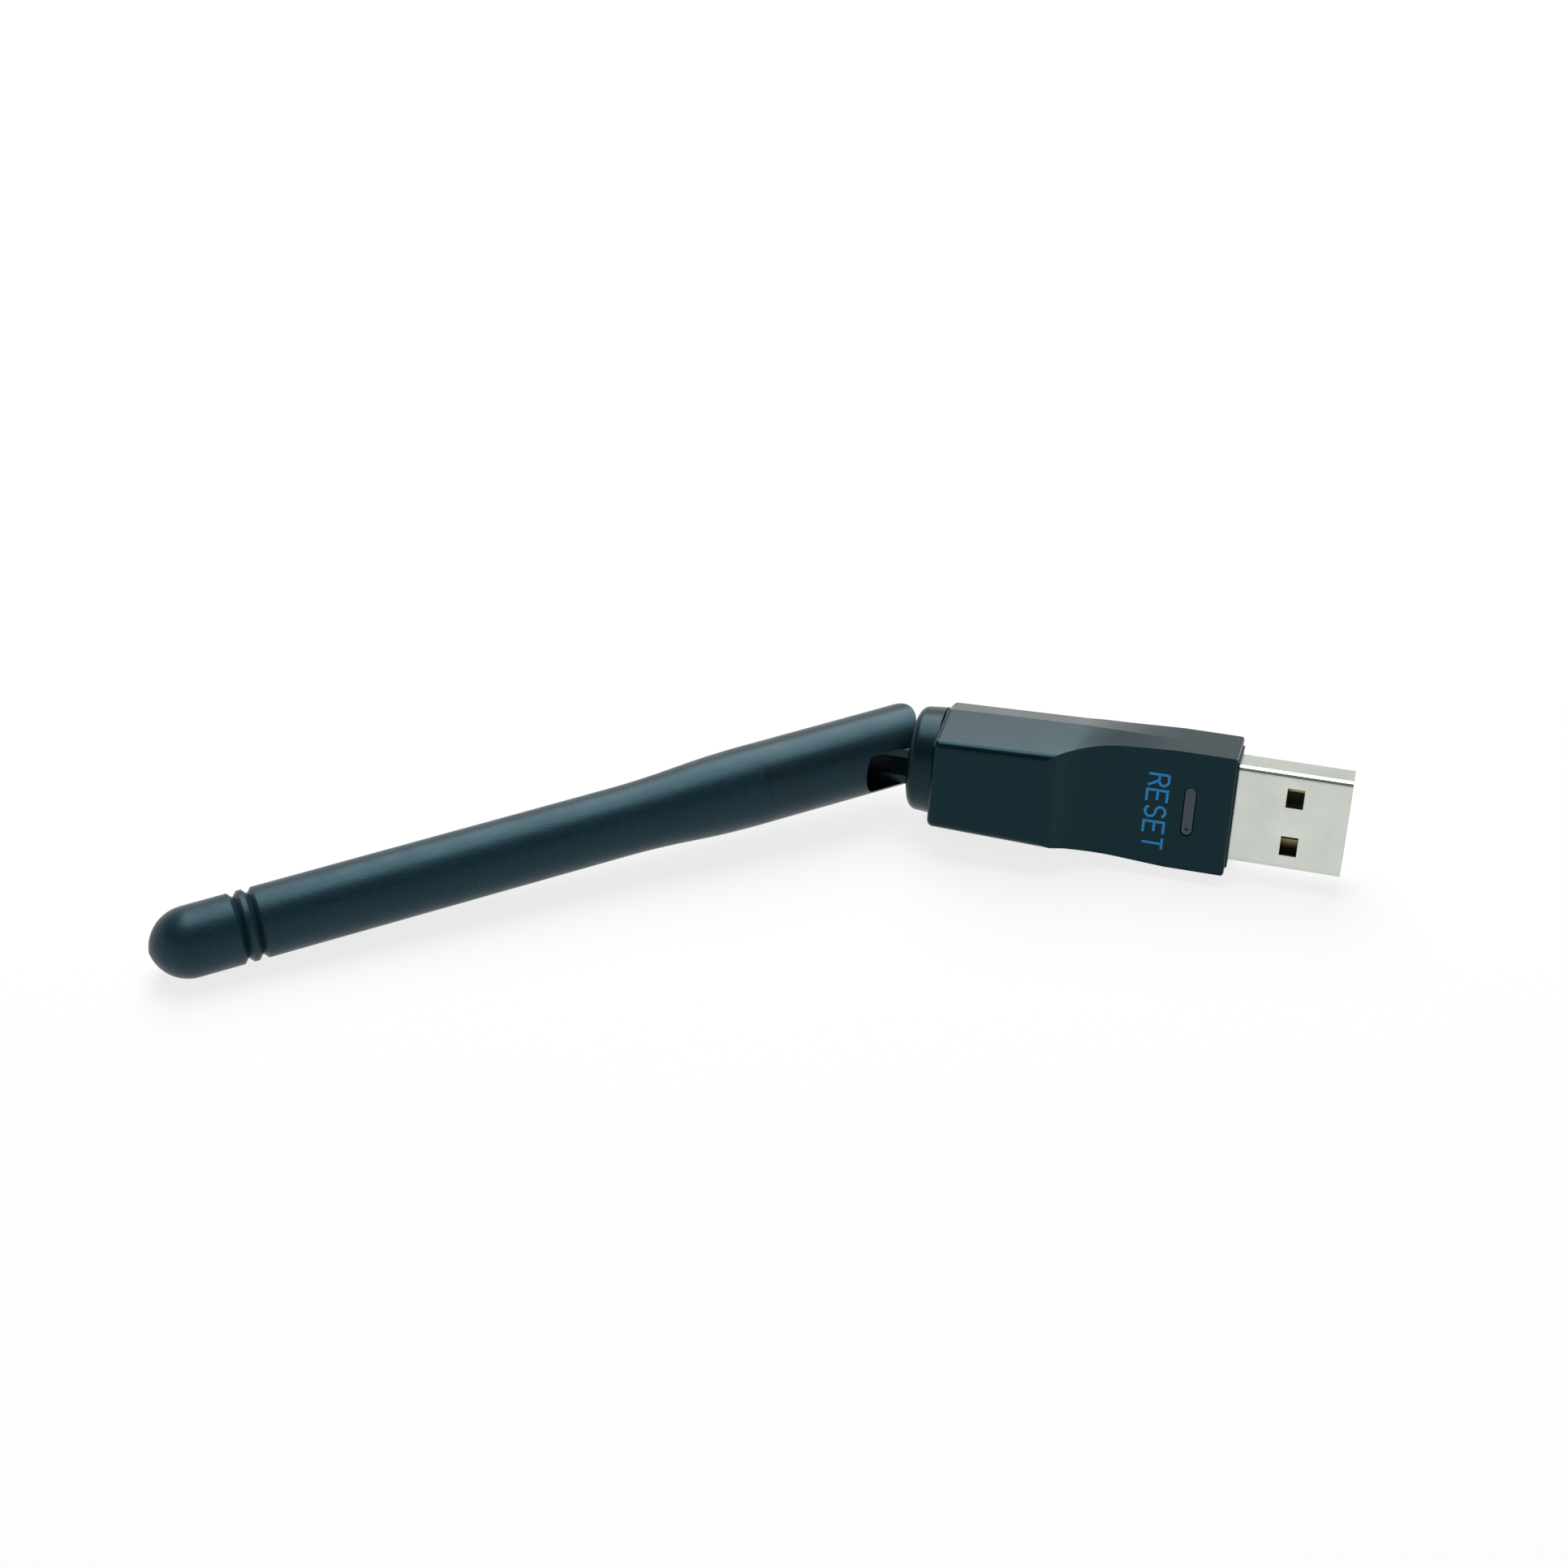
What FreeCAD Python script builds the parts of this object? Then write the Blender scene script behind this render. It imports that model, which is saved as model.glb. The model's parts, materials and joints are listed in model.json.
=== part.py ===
"""Wireless dongle for a USB-A socket, with a folding, swivelling rod antenna.

Two coordinate systems are used. The dongle's own one has its origin in the middle of the housing's
plug end, +X out along the plug, +Y across the width and +Z out of the broad face with the reset
button. The antenna's own one has its origin on the fold axis, +X along the rod and +Y along the
fold axis. At the end everything is laid down on one long edge and the antenna's tip, as the dongle
rests on a table, with +Z up. All sizes are in millimetres.
"""
import FreeCAD, Part
import math
import os
import Sketcher

Vector = FreeCAD.Vector
Placement = FreeCAD.Placement
Rotation = FreeCAD.Rotation

X_AXIS = Vector(1, 0, 0)
ORIGIN = Vector(0, 0, 0)

DIMENSIONS = (
    # Housing, two moulded halves that meet at mid thickness
    ("housing_length", 34.8),
    ("housing_width", 14.7),
    ("rear_inset", 0.5),
    ("plug_end_height", 7.4),
    ("facet_length", 12.6),
    ("hump_start", 22.0),
    ("hump_above", 7.5),
    ("hump_below", 5.2),
    ("shoulder_start", 7.0),
    ("shoulder_full", 18.5),
    ("shoulder_above", 1.5),
    ("shoulder_below", 0.8),
    ("scoop_share", 0.78),
    ("facet_clearance", 1.0),
    ("ridge_round_front", 0.9),
    ("ridge_round_above", 0.9),
    ("ridge_round_below", 1.5),
    ("rear_round", 0.7),
    ("end_round", 0.35),
    ("wall", 1.1),
    ("rear_wall", 1.6),
    ("rear_side_wall", 1.5),
    ("ledge_width", 0.9),
    ("rim_proud", 0.2),
    ("rim_border", 0.55),
    ("peg_radius", 0.9),
    ("peg_reach", 1.5),
    ("peg_back", 28.5),
    ("peg_side", 3.4),
    ("socket_wall", 0.8),
    ("slide_gap", 0.05),
    # Plug, the standard USB-A size
    ("plug_width", 12.0),
    ("plug_height", 4.5),
    ("plug_reach", 13.1),
    ("plug_depth", 2.4),
    ("plug_corner", 0.7),
    ("shell_sheet", 0.3),
    ("window_length", 2.0),
    ("window_width", 2.4),
    ("window_spacing", 6.0),
    ("window_setback", 6.2),
    ("ear_length", 2.0),
    ("ear_height", 1.3),
    ("insulator_setback", 0.4),
    ("contact_width", 1.0),
    ("contact_thickness", 0.25),
    ("contact_setback", 1.4),
    ("contact_tail", 0.8),
    ("inner_contact_side", 1.0),
    ("outer_contact_side", 3.5),
    # Circuit board and what is on it
    ("board_length", 19.4),
    ("board_play", 0.2),
    ("board_thickness", 1.0),
    ("radio_chip_size", 6.0),
    ("radio_chip_height", 0.85),
    ("radio_chip_back", 13.5),
    ("main_crystal_length", 2.5),
    ("main_crystal_width", 2.0),
    ("main_crystal_height", 0.6),
    ("main_crystal_back", 18.7),
    ("main_crystal_inset", 1.3),
    ("clock_crystal_length", 1.5),
    ("clock_crystal_width", 3.2),
    ("clock_crystal_height", 0.8),
    ("clock_crystal_back", 8.4),
    ("regulator_length", 1.6),
    ("regulator_width", 2.9),
    ("regulator_height", 1.1),
    ("regulator_back", 8.4),
    ("regulator_inset", 0.35),
    ("capacitor_length", 1.0),
    ("capacitor_width", 0.6),
    ("capacitor_height", 0.55),
    ("capacitor_pitch", 1.7),
    ("capacitor_back", 17.6),
    ("capacitor_inset", 1.4),
    ("indicator_length", 0.8),
    ("indicator_width", 1.6),
    ("indicator_height", 0.6),
    ("indicator_inset", 1.7),
    # Reset switch and button
    ("button_back", 4.85),
    ("button_width", 1.2),
    ("button_length", 5.9),
    ("button_recess", 0.12),
    ("button_play", 0.14),
    ("button_travel", 0.3),
    ("button_lip_width", 2.2),
    ("button_lip_length", 7.2),
    ("button_lip_height", 0.4),
    ("button_lip_gap", 0.1),
    ("button_dot_radius", 0.22),
    ("button_dot_depth", 0.2),
    ("button_dot_side", 2.2),
    ("switch_length", 3.0),
    ("switch_width", 4.0),
    ("switch_height", 1.4),
    ("switch_floor", 0.5),
    ("plunger_radius", 0.75),
    # Swivel knuckle
    ("swivel_drop", 0.3),
    ("collar_length", 3.2),
    ("collar_radius", 6.45),
    ("collar_rim_radius", 6.25),
    ("collar_face_radius", 5.2),
    ("collar_dome", 1.1),
    ("collar_gap", 0.1),
    ("swivel_shaft_radius", 2.7),
    ("flange_radius", 3.5),
    ("flange_thickness", 1.1),
    ("flange_gap", 0.1),
    ("stop_tab_width", 1.2),
    ("stop_tab_reach", 0.3),
    ("stop_gap", 0.05),
    ("tongue_reach", 4.9),
    ("tongue_thickness", 5.1),
    ("tongue_radius", 2.2),
    ("channel_width", 2.7),
    ("channel_depth", 2.3),
    ("stub_radius", 1.3),
    ("stub_reach", 1.15),
    ("stub_play", 0.05),
    ("lead_hole_radius", 0.9),
    # Antenna
    ("fork_radius", 4.8),
    ("fork_length", 15.4),
    ("fork_slot_play", 0.1),
    ("slot_root", 2.5),
    ("slot_bulge", 0.9),
    ("spigot_radius", 3.1),
    ("spigot_length", 8.0),
    ("nose_length", 2.0),
    ("sleeve_radius", 4.1),
    ("sleeve_band", 1.2),
    ("neck_length", 16.5),
    ("antenna_length", 88.1),
    ("tip_dome", 4.6),
    ("sleeve_bore_radius", 2.7),
    ("tip_wall", 5.5),
    ("groove_setback", 10.3),
    ("groove_pitch", 1.65),
    ("groove_depth", 0.6),
    ("groove_half_width", 0.55),
    ("choke_radius", 2.3),
    ("choke_sheet", 0.25),
    ("choke_length", 26.0),
    ("choke_cap", 0.6),
    ("feed_length", 0.8),
    ("radiator_radius", 0.4),
    ("radiator_clearance", 5.1),
    ("bead_thickness", 3.0),
    ("bead_setback", 1.5),
    ("lead_radius", 0.565),
    ("lead_start", 18.6),
    ("lead_slope_start", 23.4),
    ("lead_slope_end", 28.4),
    ("lead_bend_radius", 4.5),
    # Pose in which the dongle lies
    ("fold_angle", 38.4),
    ("swivel_angle", 16.0),
)

doc = FreeCAD.newDocument("dongle")
sheet = doc.addObject("Spreadsheet::Sheet", "Sizes")
for row, (alias, number) in enumerate(DIMENSIONS, start=1):
    sheet.set(f"A{row}", alias)
    sheet.set(f"B{row}", str(number))
    sheet.setAlias(f"B{row}", alias)
doc.recompute()


class Size:
    """A length that knows its value and the formula that gives it from the sheet."""

    def __init__(self, value, text):
        self.value = value
        self.text = text

    def joined(self, sign, other, value):
        other_text = other.text if isinstance(other, Size) else str(other)
        return Size(value, f"({self.text} {sign} {other_text})")

    def __add__(self, other):
        return self.joined("+", other, self.value + number_of(other))

    def __sub__(self, other):
        return self.joined("-", other, self.value - number_of(other))

    def __mul__(self, other):
        return self.joined("*", other, self.value * number_of(other))

    def __truediv__(self, other):
        return self.joined("/", other, self.value / number_of(other))

    def __neg__(self):
        return Size(-self.value, f"(0 - {self.text})")


NO_LENGTH = Size(0.0, "0")

def number_of(length):
    """Plain number of a Size or of a number."""
    return length.value if isinstance(length, Size) else float(length)


def given(alias):
    """Size held in one cell of the sheet."""
    return Size(float(sheet.get(alias)), f"Sizes.{alias}")


def bind(item, name, length):
    """Ties a property to its formula, or sets it where it is a plain number."""
    if isinstance(length, Size):
        item.setExpression(name, length.text)
    else:
        setattr(item, name, length)


def arc_radius(run, rise):
    """Radius of an arc that starts along the run and is off by the rise at its end."""
    return (run * run + rise * rise) / (rise * 2)


# Sizes by the names above
S = {alias: given(alias) for alias, number in DIMENSIONS}

# Sizes that more than one piece uses
board_top = -S["contact_thickness"]
board_bottom = board_top - S["board_thickness"]
half_plug_height = S["plug_height"] / 2
front_ceiling = S["plug_end_height"] / 2 - S["wall"]
opening_half_width = S["plug_width"] / 2 + S["slide_gap"]
opening_half_height = half_plug_height + S["slide_gap"]
pivot_back = S["housing_length"] + S["collar_gap"] + S["collar_length"] + S["tongue_reach"]
shell_inner_half_height = half_plug_height - S["shell_sheet"]
shell_inner_width = S["plug_width"] - S["shell_sheet"] * 2
cavity_half_width = S["housing_width"] / 2 - S["wall"]
rear_half_width = S["housing_width"] / 2 - S["rear_inset"]
rear_cavity_half_width = rear_half_width - S["rear_side_wall"]
board_half_width = cavity_half_width - S["board_play"]
lip_bottom = front_ceiling - S["button_lip_gap"] - S["button_lip_height"]
slot_half = S["tongue_thickness"] / 2 + S["fork_slot_play"]
spigot_end = S["fork_length"] + S["spigot_length"]
choke_end = spigot_end + S["choke_length"]
feed_end = choke_end + S["feed_length"]
radiator_end = S["antenna_length"] - S["tip_wall"] - S["radiator_clearance"]
# Flange faces, measured from the fold axis towards the plug
collar_back = S["tongue_reach"] + S["collar_length"]
wall_front = collar_back + S["collar_gap"] + S["rear_wall"]
flange_back = wall_front + S["flange_gap"]
flange_front = flange_back + S["flange_thickness"]

nodes = []


def new_body(name):
    """Empty solid body with its name."""
    body = doc.addObject("PartDesign::Body", name)
    body.Label = name
    nodes.append(body)
    return body


def new_sketch(body, plane, offset=None):
    """Sketch on one of the body's own base planes, moved along the plane's normal."""
    sketch = body.newObject("Sketcher::SketchObject", body.Name + "_outline")
    base = [item for item in body.Origin.OriginFeatures if item.Role == plane][0]
    sketch.AttachmentSupport = [(base, "")]
    sketch.MapMode = "FlatFace"
    if offset is not None:
        bind(sketch, "AttachmentOffset.Base.z", offset)
    return sketch


def pin_point(sketch, edge, end, place):
    """Fixes one end of an edge at a place given by two lengths."""
    for kind, length in zip(("DistanceX", "DistanceY"), place):
        if number_of(length) == 0 and not isinstance(length, Size):
            other_axis = -2 if kind == "DistanceX" else -1
            sketch.addConstraint(Sketcher.Constraint("PointOnObject", edge, end, other_axis))
            continue
        index = sketch.addConstraint(Sketcher.Constraint(kind, -1, 1, edge, end, number_of(length)))
        if isinstance(length, Size):
            sketch.setExpression(f"Constraints[{index}]", length.text)


def draw(sketch, path):
    """Closed outline through the given places.

    Each entry is (x, y) for a corner at the end of a straight side, or (x, y, radius, turn) for
    the end of an arc of that radius, which turns left for +1 and right for -1.
    """
    flat = [(number_of(entry[0]), number_of(entry[1])) for entry in path]
    ends = []
    for index, entry in enumerate(path):
        start, stop = flat[index - 1], flat[index]
        if len(entry) == 2:
            edge = sketch.addGeometry(Part.LineSegment(Vector(*start, 0), Vector(*stop, 0)), False)
            ends.append((edge, 1, 2))
            continue
        radius, turn = entry[2], entry[3]
        middle, begin, finish = arc_centre(start, stop, number_of(radius), turn)
        circle = Part.Circle(Vector(*middle, 0), Vector(0, 0, 1), number_of(radius))
        edge = sketch.addGeometry(Part.ArcOfCircle(circle, begin, finish), False)
        index_of_radius = sketch.addConstraint(Sketcher.Constraint("Radius", edge, number_of(radius)))
        if isinstance(radius, Size):
            sketch.setExpression(f"Constraints[{index_of_radius}]", radius.text)
        ends.append((edge, 1, 2) if turn > 0 else (edge, 2, 1))
    following_ends = ends[1:] + ends[:1]
    for entry, (edge, start_end, stop_end), following in zip(path, ends, following_ends):
        pin_point(sketch, edge, stop_end, entry[:2])
        sketch.addConstraint(Sketcher.Constraint("Coincident", edge, stop_end, following[0], following[1]))
    if sketch.solve() != 0:
        raise RuntimeError(f"{sketch.Name} has conflicting sizes")


def arc_centre(start, stop, radius, turn):
    """Centre of an arc between two places, and its angles in counter-clockwise order."""
    half_x, half_y = (stop[0] - start[0]) / 2, (stop[1] - start[1]) / 2
    half = math.hypot(half_x, half_y)
    height = math.sqrt(max(radius * radius - half * half, 0)) * turn
    middle = (start[0] + half_x - half_y / half * height, start[1] + half_y + half_x / half * height)
    begin = math.atan2(start[1] - middle[1], start[0] - middle[0])
    finish = math.atan2(stop[1] - middle[1], stop[0] - middle[0])
    return (middle, begin, finish) if turn > 0 else (middle, finish, begin)


def draw_rectangle(sketch, left, right, low, high):
    """Rectangle between two places along each axis of the sketch."""
    draw(sketch, [(right, low), (right, high), (left, high), (left, low)])


def draw_rounded(sketch, half_width, half_height, corner):
    """Rectangle about the sketch's origin with round corners."""
    across, up = half_width - corner, half_height - corner
    draw(sketch, [
        (across, -half_height), (half_width, -up, corner, 1),
        (half_width, up), (across, half_height, corner, 1),
        (-across, half_height), (-half_width, up, corner, 1),
        (-half_width, -up), (-across, -half_height, corner, 1),
    ])


def draw_stadium(sketch, middle, half_width, reach):
    """Slot shape along the sketch's second axis, with half-round ends."""
    straight = reach - half_width
    draw(sketch, [
        (middle + half_width, straight),
        (middle, reach, half_width, 1), (middle - half_width, straight, half_width, 1),
        (middle - half_width, -straight),
        (middle, -reach, half_width, 1), (middle + half_width, -straight, half_width, 1),
    ])


def draw_circle(sketch, centre, radius):
    """Circle about a place."""
    circle = Part.Circle(Vector(number_of(centre[0]), number_of(centre[1]), 0), Vector(0, 0, 1),
                         number_of(radius))
    edge = sketch.addGeometry(circle, False)
    index = sketch.addConstraint(Sketcher.Constraint("Radius", edge, number_of(radius)))
    sketch.setExpression(f"Constraints[{index}]", radius.text)
    if number_of(centre[0]) == 0 and number_of(centre[1]) == 0:
        sketch.addConstraint(Sketcher.Constraint("Coincident", edge, 3, -1, 1))
        return
    pin_point(sketch, edge, 3, centre)


def pad(body, sketch, length, symmetric=False, reverse=False):
    """Solid drawn out from a sketch."""
    feature = body.newObject("PartDesign::Pad", body.Name + "_pad")
    feature.Profile = sketch
    feature.SideType = "Symmetric" if symmetric else "One side"
    feature.Reversed = reverse
    feature.Refine = False
    bind(feature, "Length", length)
    sketch.Visibility = False
    doc.recompute()
    return feature


def pocket(body, sketch, length, symmetric=False, reverse=False):
    """Hollow cut from a sketch. One that removes nothing is an error."""
    before = body.Shape.Volume
    feature = body.newObject("PartDesign::Pocket", body.Name + "_pocket")
    feature.Profile = sketch
    feature.SideType = "Symmetric" if symmetric else "One side"
    feature.Reversed = reverse
    feature.Refine = False
    bind(feature, "Length", length)
    sketch.Visibility = False
    doc.recompute()
    if body.Shape.Volume > before - 1e-6:
        raise RuntimeError(f"{feature.Name} cuts nothing")
    return feature


def turned(name, path):
    """Body of revolution about its own X axis, from its profile above that axis."""
    body = new_body(name)
    sketch = new_sketch(body, "XZ_Plane")
    draw(sketch, path)
    feature = body.newObject("PartDesign::Revolution", name + "_turning")
    feature.Profile = sketch
    feature.ReferenceAxis = (sketch, ["H_Axis"])
    feature.Angle = 360
    sketch.Visibility = False
    doc.recompute()
    return body


def round_edges(body, radius, wanted):
    """Fillet along the edges that the test picks."""
    base = body.Tip
    names = [f"Edge{i}" for i, edge in enumerate(base.Shape.Edges, start=1) if wanted(edge)]
    if not names:
        raise RuntimeError(f"{body.Name} has no edge to round")
    feature = body.newObject("PartDesign::Fillet", body.Name + "_round")
    feature.Base = (base, names)
    feature.Refine = False
    bind(feature, "Radius", radius)
    doc.recompute()
    return feature


def near(a, b):
    """True where two lengths agree."""
    return abs(a - b) < 1e-4


def all_at(edge, axis, value):
    """True where every corner of an edge, and its middle, has one coordinate at the value."""
    middle = edge.valueAt((edge.FirstParameter + edge.LastParameter) / 2)
    points = [vertex.Point for vertex in edge.Vertexes] + [middle]
    return all(near(point[axis], value) for point in points)


def box(name, back, side, bottom, length, width, height):
    """Rectangular block, placed by the middle of its underside in the dongle's system."""
    block = doc.addObject("Part::Box", name)
    block.Label = name
    bind(block, "Length", length)
    bind(block, "Width", width)
    bind(block, "Height", height)
    corner = Vector(-number_of(back) - number_of(length) / 2, number_of(side) - number_of(width) / 2,
                    number_of(bottom))
    block.Placement = Placement(corner, Rotation())
    return block


# Housing

def add_section(body, back, side, half_width, height, shoulder, ridge):
    """Half of the housing's cross section at one place, with sides that lean in by the shoulder."""
    sketch = new_sketch(body, "YZ_Plane", offset=-back)
    lean = shoulder / height
    edge = half_width - shoulder
    ridge_radius = ridge * (lean * lean / 2 + lean + 1)
    below_ridge = half_width - lean * (height - ridge)
    if side > 0:
        draw(sketch, [(half_width, 0), (below_ridge, height - ridge), (edge - ridge, height, ridge_radius, 1),
                      (-edge + ridge, height), (-below_ridge, height - ridge, ridge_radius, 1),
                      (-half_width, 0)])
    else:
        draw(sketch, [(-half_width, 0), (-below_ridge, ridge - height),
                      (-edge + ridge, -height, ridge_radius, 1), (edge - ridge, -height),
                      (below_ridge, ridge - height, ridge_radius, 1), (half_width, 0)])
    sketch.Visibility = False
    return sketch


def housing_half(name, side, hump, shoulder, ridge):
    """One half of the housing. The upper one has side +1 and the lower one -1."""
    body = new_body(name)
    wide = S["housing_width"] / 2
    front_ridge = S["ridge_round_front"]
    loft = body.newObject("PartDesign::AdditiveLoft", name + "_loft")
    loft.Profile = add_section(body, NO_LENGTH, side, wide, hump, NO_LENGTH, front_ridge)
    loft.Sections = [
        add_section(body, S["shoulder_start"], side, wide, hump, NO_LENGTH, front_ridge),
        add_section(body, S["shoulder_full"], side, wide, hump, shoulder, ridge),
        add_section(body, S["housing_length"], side, rear_half_width, hump, shoulder, ridge),
    ]
    loft.Ruled = True
    loft.Refine = False
    body.Tip = loft
    doc.recompute()
    back = -S["housing_length"].value
    round_edges(body, S["rear_round"], lambda edge: all_at(edge, 0, back) and not all_at(edge, 2, 0))

    facet = new_sketch(body, "XZ_Plane")
    level = S["plug_end_height"] / 2
    clear = hump + S["facet_clearance"]
    run, rise = S["hump_start"] - S["facet_length"], hump - level
    hollow_run, hollow_rise = run * S["scoop_share"], rise * S["scoop_share"]
    hollow_radius = arc_radius(hollow_run, hollow_rise)
    crown_radius = arc_radius(run - hollow_run, rise - hollow_rise)
    turning_back, turning_level = S["facet_length"] + hollow_run, level + hollow_rise
    before = S["facet_clearance"]
    if side > 0:
        draw(facet, [(before, level), (before, clear), (-S["hump_start"], clear), (-S["hump_start"], hump),
                     (-turning_back, turning_level, crown_radius, -1),
                     (-S["facet_length"], level, hollow_radius, 1)])
    else:
        draw(facet, [(before, -clear), (before, -level), (-S["facet_length"], -level),
                     (-turning_back, -turning_level, hollow_radius, 1),
                     (-S["hump_start"], -hump, crown_radius, -1), (-S["hump_start"], -clear)])
    pocket(body, facet, S["housing_width"] * 2, symmetric=True)
    round_edges(body, S["end_round"], lambda edge: all_at(edge, 0, 0) and not all_at(edge, 2, 0))

    add_rim(body, side)
    hollow_out(body, side, hump)
    return body


def add_rim(body, side):
    """Low rim around the plug's opening, and the opening through it."""
    rim = new_sketch(body, "YZ_Plane", offset=-S["wall"])
    rim_half_width = opening_half_width + S["rim_border"]
    rim_half_height = opening_half_height + S["rim_border"]
    low, high = (0, rim_half_height) if side > 0 else (-rim_half_height, 0)
    draw_rectangle(rim, -rim_half_width, rim_half_width, low, high)
    pad(body, rim, S["wall"] + S["rim_proud"])
    opening = new_sketch(body, "YZ_Plane", offset=S["rim_proud"])
    draw_rounded(opening, opening_half_width, opening_half_height, S["plug_corner"])
    pocket(body, opening, S["rim_proud"] + S["plug_depth"] + S["ear_length"] + S["slide_gap"])


def hollow_out(body, side, hump):
    """Room for the board in front, for the lead and the swivel flange behind, and its bearing."""
    inner_back = S["housing_length"] - S["rear_wall"]
    step_back = S["hump_start"]
    front = new_sketch(body, "XY_Plane")
    draw_rectangle(front, -step_back, -S["plug_depth"], -cavity_half_width, cavity_half_width)
    rear = new_sketch(body, "XY_Plane")
    draw_rectangle(rear, -inner_back, -step_back, -rear_cavity_half_width, rear_cavity_half_width)
    if side > 0:
        pocket(body, front, front_ceiling, reverse=True)
        pocket(body, rear, hump - S["wall"], reverse=True)
    else:
        pocket(body, front, -board_bottom)
        below = new_sketch(body, "XY_Plane")
        ledge_half = cavity_half_width - S["ledge_width"]
        draw_rectangle(below, -step_back, -S["plug_depth"], -ledge_half, ledge_half)
        pocket(body, below, front_ceiling)
        pocket(body, rear, hump - S["wall"])
    bearing = new_sketch(body, "YZ_Plane", offset=-S["housing_length"])
    draw_circle(bearing, (0, -S["swivel_drop"]), S["swivel_shaft_radius"] + S["slide_gap"])
    pocket(body, bearing, S["rear_wall"], reverse=True)


def upper_housing():
    """Half with the button's slot and two locating pegs."""
    body = housing_half("upper_housing", 1, S["hump_above"], S["shoulder_above"], S["ridge_round_above"])
    slot = new_sketch(body, "XY_Plane")
    draw_stadium(slot, -S["button_back"], S["button_width"] / 2 + S["button_play"],
                 S["button_length"] / 2 + S["button_play"])
    pocket(body, slot, S["hump_above"], reverse=True)
    for hand in (1, -1):
        peg = new_sketch(body, "XY_Plane", offset=-S["peg_reach"])
        draw_circle(peg, (-S["peg_back"], S["peg_side"] * hand), S["peg_radius"])
        pad(body, peg, S["peg_reach"] + S["hump_above"] - S["wall"])


def lower_housing():
    """Half with the board's ledges, the pegs' sockets and the swivel's two stops."""
    body = housing_half("lower_housing", -1, S["hump_below"], S["shoulder_below"], S["ridge_round_below"])
    floor = S["hump_below"] - S["wall"]
    for hand in (1, -1):
        boss_depth = floor + S["wall"] / 2
        boss = new_sketch(body, "XY_Plane", offset=-boss_depth)
        place = (-S["peg_back"], S["peg_side"] * hand)
        draw_circle(boss, place, S["peg_radius"] + S["slide_gap"] + S["socket_wall"])
        pad(body, boss, boss_depth)
        hole = new_sketch(body, "XY_Plane")
        draw_circle(hole, place, S["peg_radius"] + S["slide_gap"])
        pocket(body, hole, S["peg_reach"] + S["slide_gap"])
        stop = new_sketch(body, "XY_Plane", offset=-floor)
        inner = S["flange_radius"] + S["stop_gap"] * 2
        seat = S["wall"] / 4
        outer = rear_cavity_half_width + seat
        stop_top = -S["swivel_drop"] - S["stop_tab_width"] / 2 - S["stop_gap"]
        stop_end = flange_front - pivot_back
        stop_start = flange_back - pivot_back
        near_side, far_side = (inner, outer) if hand > 0 else (-outer, -inner)
        draw_rectangle(stop, stop_start, stop_end, near_side, far_side)
        pad(body, stop, stop_top + floor)


# Plug

def usb_shell():
    """Folded steel shell with its four latch windows and two ears that stand on the board."""
    body = new_body("usb_shell")
    tube = new_sketch(body, "YZ_Plane", offset=-S["plug_depth"])
    draw_rounded(tube, S["plug_width"] / 2, half_plug_height, S["plug_corner"])
    pad(body, tube, S["plug_depth"] + S["plug_reach"])
    ears = new_sketch(body, "XZ_Plane")
    draw_rectangle(ears, -S["plug_depth"] - S["ear_length"], -S["plug_depth"] + S["shell_sheet"],
                   board_top, board_top + S["ear_height"])
    pad(body, ears, S["plug_width"], symmetric=True)
    between = new_sketch(body, "XZ_Plane")
    draw_rectangle(between, -S["plug_depth"] - S["ear_length"] * 2, -S["plug_depth"],
                   board_bottom, board_top + S["ear_height"] * 2)
    pocket(body, between, shell_inner_width, symmetric=True)
    inside = new_sketch(body, "YZ_Plane", offset=S["plug_reach"])
    draw_rounded(inside, shell_inner_width / 2, shell_inner_half_height,
                 S["plug_corner"] - S["shell_sheet"])
    pocket(body, inside, S["plug_depth"] + S["plug_reach"])
    middle = S["plug_reach"] - S["window_setback"]
    for hand in (1, -1):
        window = new_sketch(body, "XY_Plane")
        across = S["window_spacing"] / 2 * hand
        draw_rectangle(window, middle - S["window_length"] / 2, middle + S["window_length"] / 2,
                       across - S["window_width"] / 2, across + S["window_width"] / 2)
        pocket(body, window, S["plug_height"] * 2, symmetric=True)


CONTACT_SIDES = (
    -S["outer_contact_side"], -S["inner_contact_side"], S["inner_contact_side"], S["outer_contact_side"],
)


def usb_insulator():
    """Plastic tongue that fills the lower part of the shell and holds the contacts in grooves."""
    body = new_body("usb_insulator")
    block = new_sketch(body, "YZ_Plane", offset=-S["plug_depth"])
    half_width = shell_inner_width / 2 - S["slide_gap"]
    bottom = -shell_inner_half_height + S["slide_gap"]
    corner = S["plug_corner"] - S["shell_sheet"]
    draw(block, [
        (half_width - corner, bottom), (half_width, bottom + corner, corner, 1), (half_width, 0),
        (-half_width, 0), (-half_width, bottom + corner), (-half_width + corner, bottom, corner, 1),
    ])
    pad(body, block, S["plug_depth"] + S["plug_reach"] - S["insulator_setback"])
    foot = new_sketch(body, "XY_Plane", offset=-shell_inner_half_height)
    foot_half_width = shell_inner_width / 3
    draw_rectangle(foot, -S["plug_depth"], S["plug_reach"] - S["insulator_setback"] * 2,
                   -foot_half_width, foot_half_width)
    pad(body, foot, S["slide_gap"] * 2)
    for side in CONTACT_SIDES:
        groove = new_sketch(body, "XY_Plane")
        draw_rectangle(groove, -S["plug_depth"], S["plug_reach"] - S["contact_setback"] + S["slide_gap"],
                       side - S["contact_width"] / 2 - S["slide_gap"] / 2,
                       side + S["contact_width"] / 2 + S["slide_gap"] / 2)
        pocket(body, groove, S["contact_thickness"])


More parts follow.
